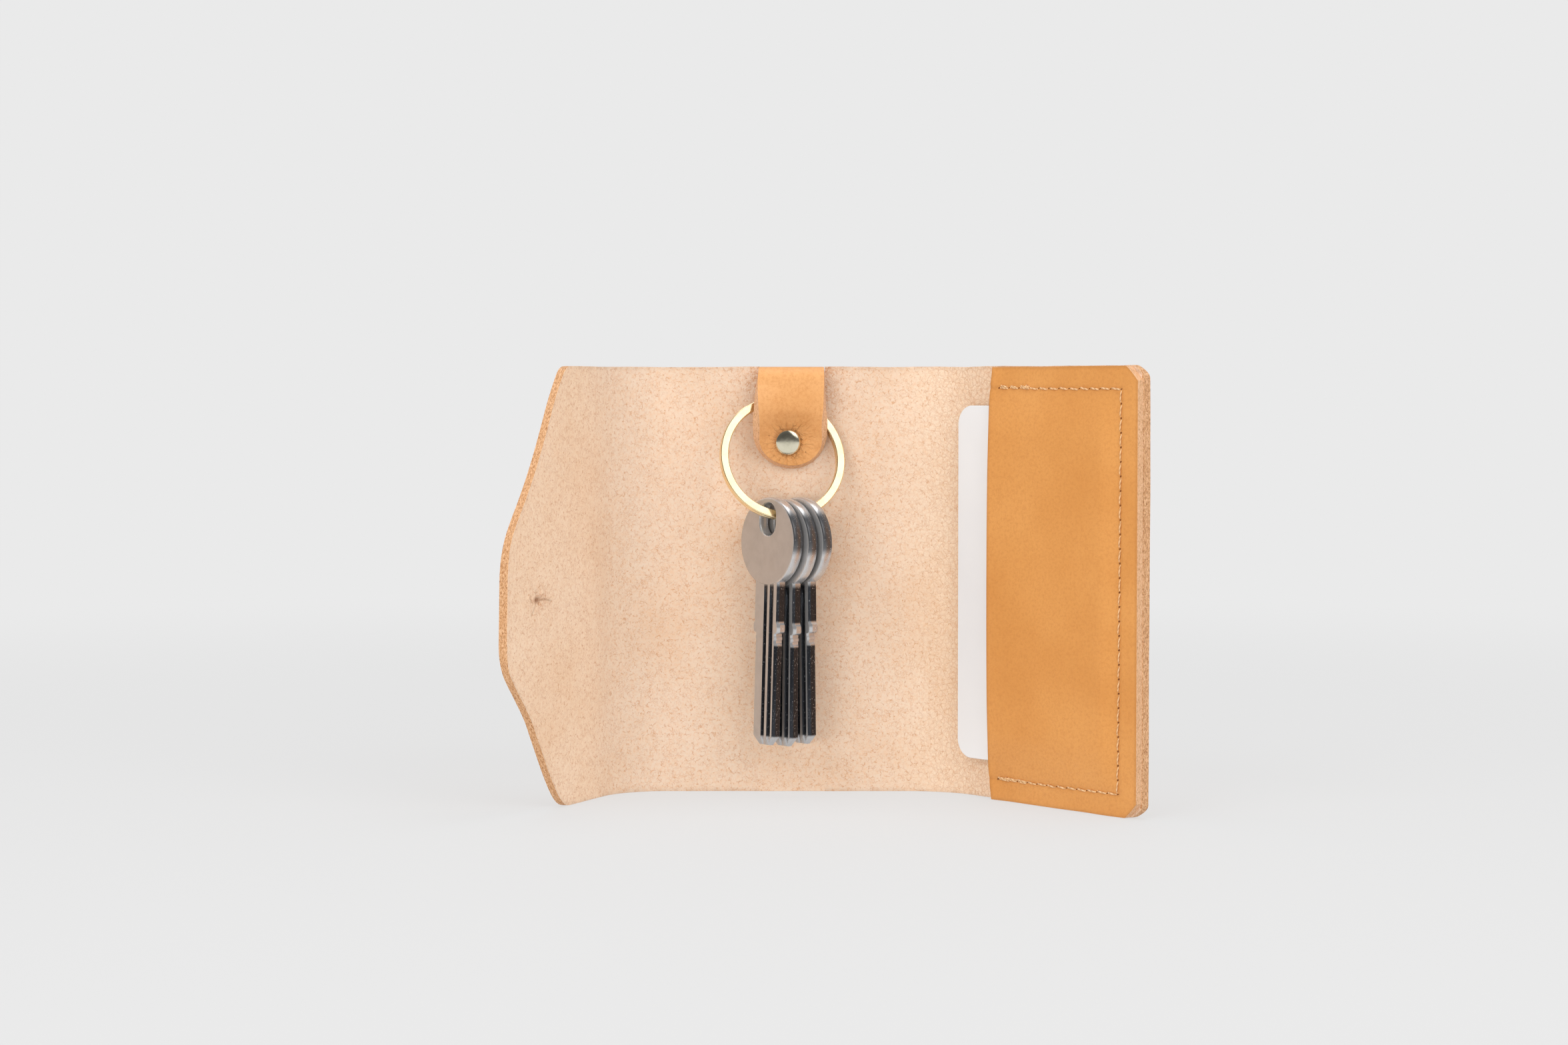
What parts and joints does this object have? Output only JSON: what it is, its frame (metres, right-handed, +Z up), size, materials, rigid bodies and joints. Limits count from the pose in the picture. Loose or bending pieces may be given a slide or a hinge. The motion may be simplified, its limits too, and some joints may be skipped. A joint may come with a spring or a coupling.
{
  "type": "key organiser",
  "caption": "Trifold leather key wallet standing open, with keys on a split ring held by a riveted strap and a blank card in a stitched side pocket.",
  "frame": {"origin": "middle of the hide's thickness on the lower edge of the back panel, at the resting surface", "axes": "+X along the back panel towards the pocket side, +Y out of the back of the wallet, +Z up; the keys face -Y"},
  "size_m": [0.1488, 0.0563, 0.1045],
  "materials": {
    "hide": "pale napped flesh side, tan outside",
    "grain": "smooth mustard tan grain",
    "thread": "waxed",
    "rivet": "polished",
    "ring": "polished",
    "key": "satin nickel",
    "card": "smooth white"
  },
  "bodies": {
    "back": {"back_panel": "hide", "key_tab": "grain", "rivet_cap": "rivet", "rivet_post": "rivet"},
    "left_spine": {"left_spine": "hide"},
    "left_flap": {"left_flap": "hide"},
    "right_spine": {"right_spine": "hide"},
    "right_panel": {"right_panel": "hide", "pocket_panel": "grain", "pocket_thread_front": "thread", "pocket_thread_back": "thread"},
    "ring": {"split_ring": "ring"},
    "key_1": {"key_1": "key"},
    "key_2": {"key_2": "key"},
    "key_3": {"key_3": "key"},
    "card": {"card": "card"}
  },
  "joints": [
    {"name": "left_fold", "type": "hinge", "parent": "back", "child": "left_spine", "pos_m": [-0.03843, -0.00286, 0], "axis": [0, 0, -1], "range_deg": [-10, 66], "stiffness_Nm_per_rad": 0.02},
    {"name": "flap_fold", "type": "hinge", "parent": "left_spine", "child": "left_flap", "pos_m": [-0.05263, -0.02828, 0], "axis": [0, 0, -1], "range_deg": [-100, 0], "stiffness_Nm_per_rad": 0.02},
    {"name": "right_fold", "type": "hinge", "parent": "back", "child": "right_spine", "pos_m": [0.0143, 0, 0], "axis": [0, 0, 1], "range_deg": [-70, 25], "stiffness_Nm_per_rad": 0.02},
    {"name": "right_panel_fold", "type": "hinge", "parent": "right_spine", "child": "right_panel", "pos_m": [0.04365, -0.00451, 0], "axis": [0, 0, 1], "range_deg": [-62, 22.2]},
    {"name": "ring_swing", "type": "hinge", "parent": "back", "child": "ring", "pos_m": [-0.00143, -0.004, 0.0946], "axis": [-0.9703, -0.2419, 0], "range_deg": [0, 25]},
    {"name": "key_1_swing", "type": "hinge", "parent": "ring", "child": "key_1", "pos_m": [-0.00282, -0.01295, 0.06878], "axis": [-0.788, -0.6157, 0], "range_deg": [0, 90]},
    {"name": "key_2_swing", "type": "hinge", "parent": "ring", "child": "key_2", "pos_m": [0.00062, -0.01223, 0.06837], "axis": [-0.788, -0.6157, 0], "range_deg": [0, 90]},
    {"name": "key_3_swing", "type": "hinge", "parent": "ring", "child": "key_3", "pos_m": [0.004, -0.01125, 0.06878], "axis": [-0.788, -0.6157, 0], "range_deg": [0, 90]},
    {"name": "card_slide", "type": "slide", "parent": "right_panel", "child": "card", "axis": [-0.6639, 0.7478, 0], "range_m": [0, 0.004]}
  ],
  "couplings": [
    {"joint": "right_panel_fold", "follows": "right_fold", "ratio": 0.885}
  ]
}
